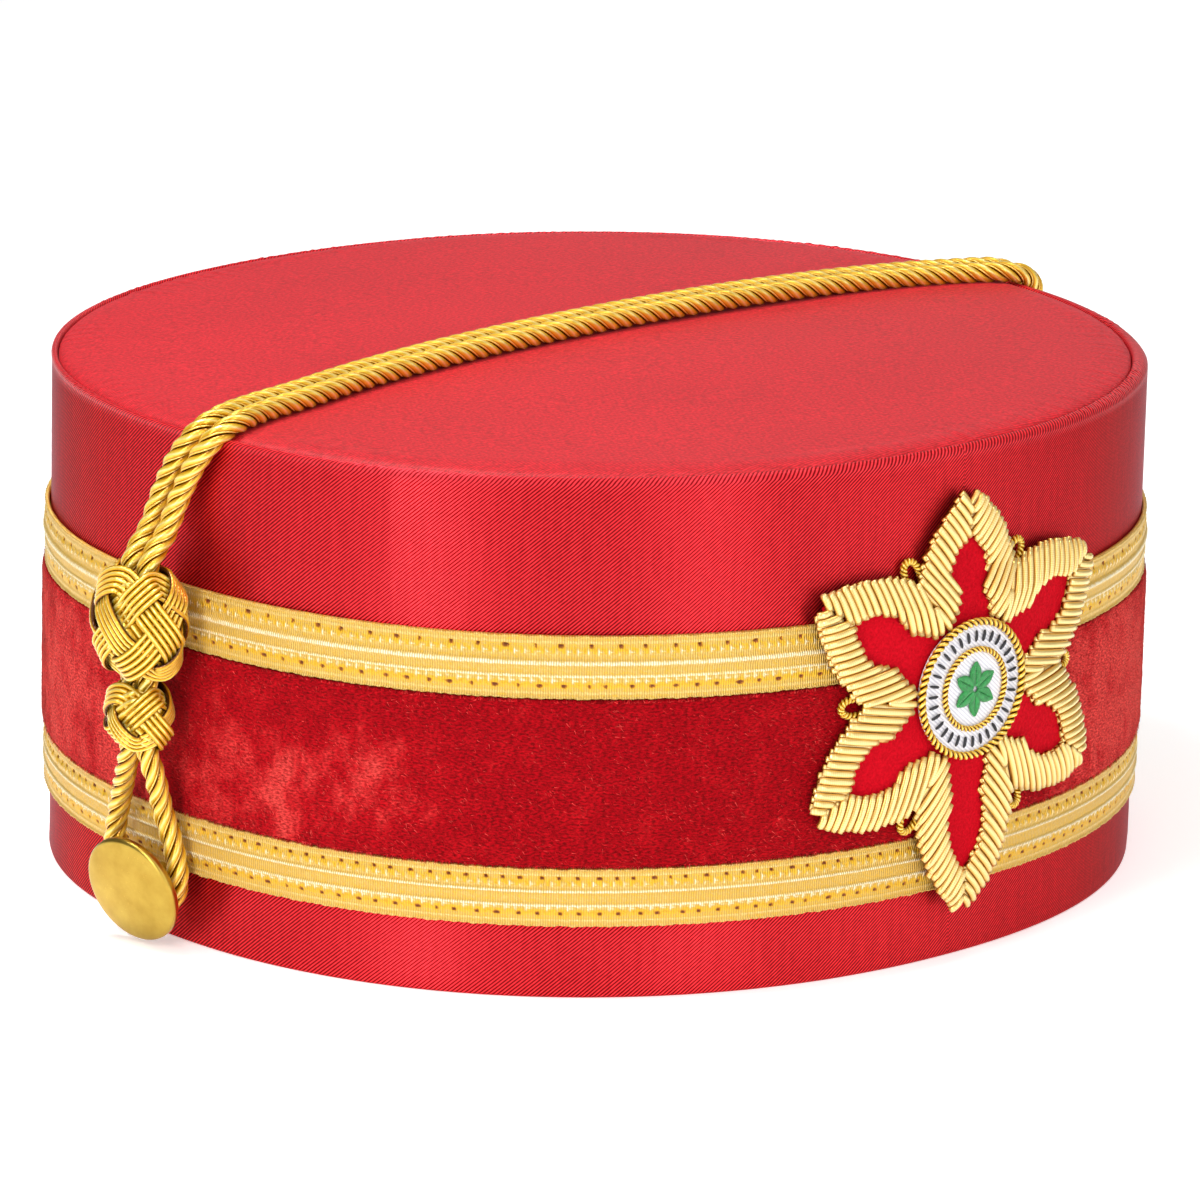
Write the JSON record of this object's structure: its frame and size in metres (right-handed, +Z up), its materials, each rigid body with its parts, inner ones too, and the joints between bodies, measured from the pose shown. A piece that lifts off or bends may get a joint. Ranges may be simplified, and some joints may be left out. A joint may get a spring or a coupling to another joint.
{
  "type": "ceremonial cap",
  "caption": "Drum-shaped red satin cap with a velvet band between gilt laces, an embroidered front badge, and gilt cords over the top held by woven knots and side buttons.",
  "frame": {"origin": "middle of the cap's plan on the surface that its open lower edge stands on", "axes": "+Z up through the top, -Y to the front where the badge is, X along the cord over the top"},
  "size_m": [0.2316, 0.1935, 0.0985],
  "materials": {
    "satin": "red twill-backed satin with a broad soft sheen",
    "satin_top": "finer red satin, slightly matt",
    "velvet": "deep red cut-pile velvet, brushed in patches",
    "gilt_lace": "woven gilt metal-thread lace",
    "gilt_cord": "twisted gilt gimp cord with a silky shine",
    "gilt_metal": "gilt brass, satin polished",
    "badge_velvet": "bright red short-pile velvet",
    "bullion": "coiled gilt wire bullion",
    "white_satin": "white twill satin",
    "green_thread": "green satin-stitch thread"
  },
  "bodies": {
    "root": {"crown_side": "satin", "crown_top": "satin_top", "lace_lower": "gilt_lace", "lace_upper": "gilt_lace", "velvet_band": "velvet", "cord_front": "gilt_cord", "cord_back": "gilt_cord", "knot_large_left": "gilt_cord", "knot_small_left": "gilt_cord", "button_left": "gilt_metal", "knot_large_right": "gilt_cord", "knot_small_right": "gilt_cord", "button_right": "gilt_metal", "badge_ground": "badge_velvet", "badge_rays": "bullion", "badge_disc": "white_satin", "badge_ring_outer": "bullion", "badge_ring_inner": "bullion", "badge_rosette": "green_thread"}
  },
  "joints": []
}
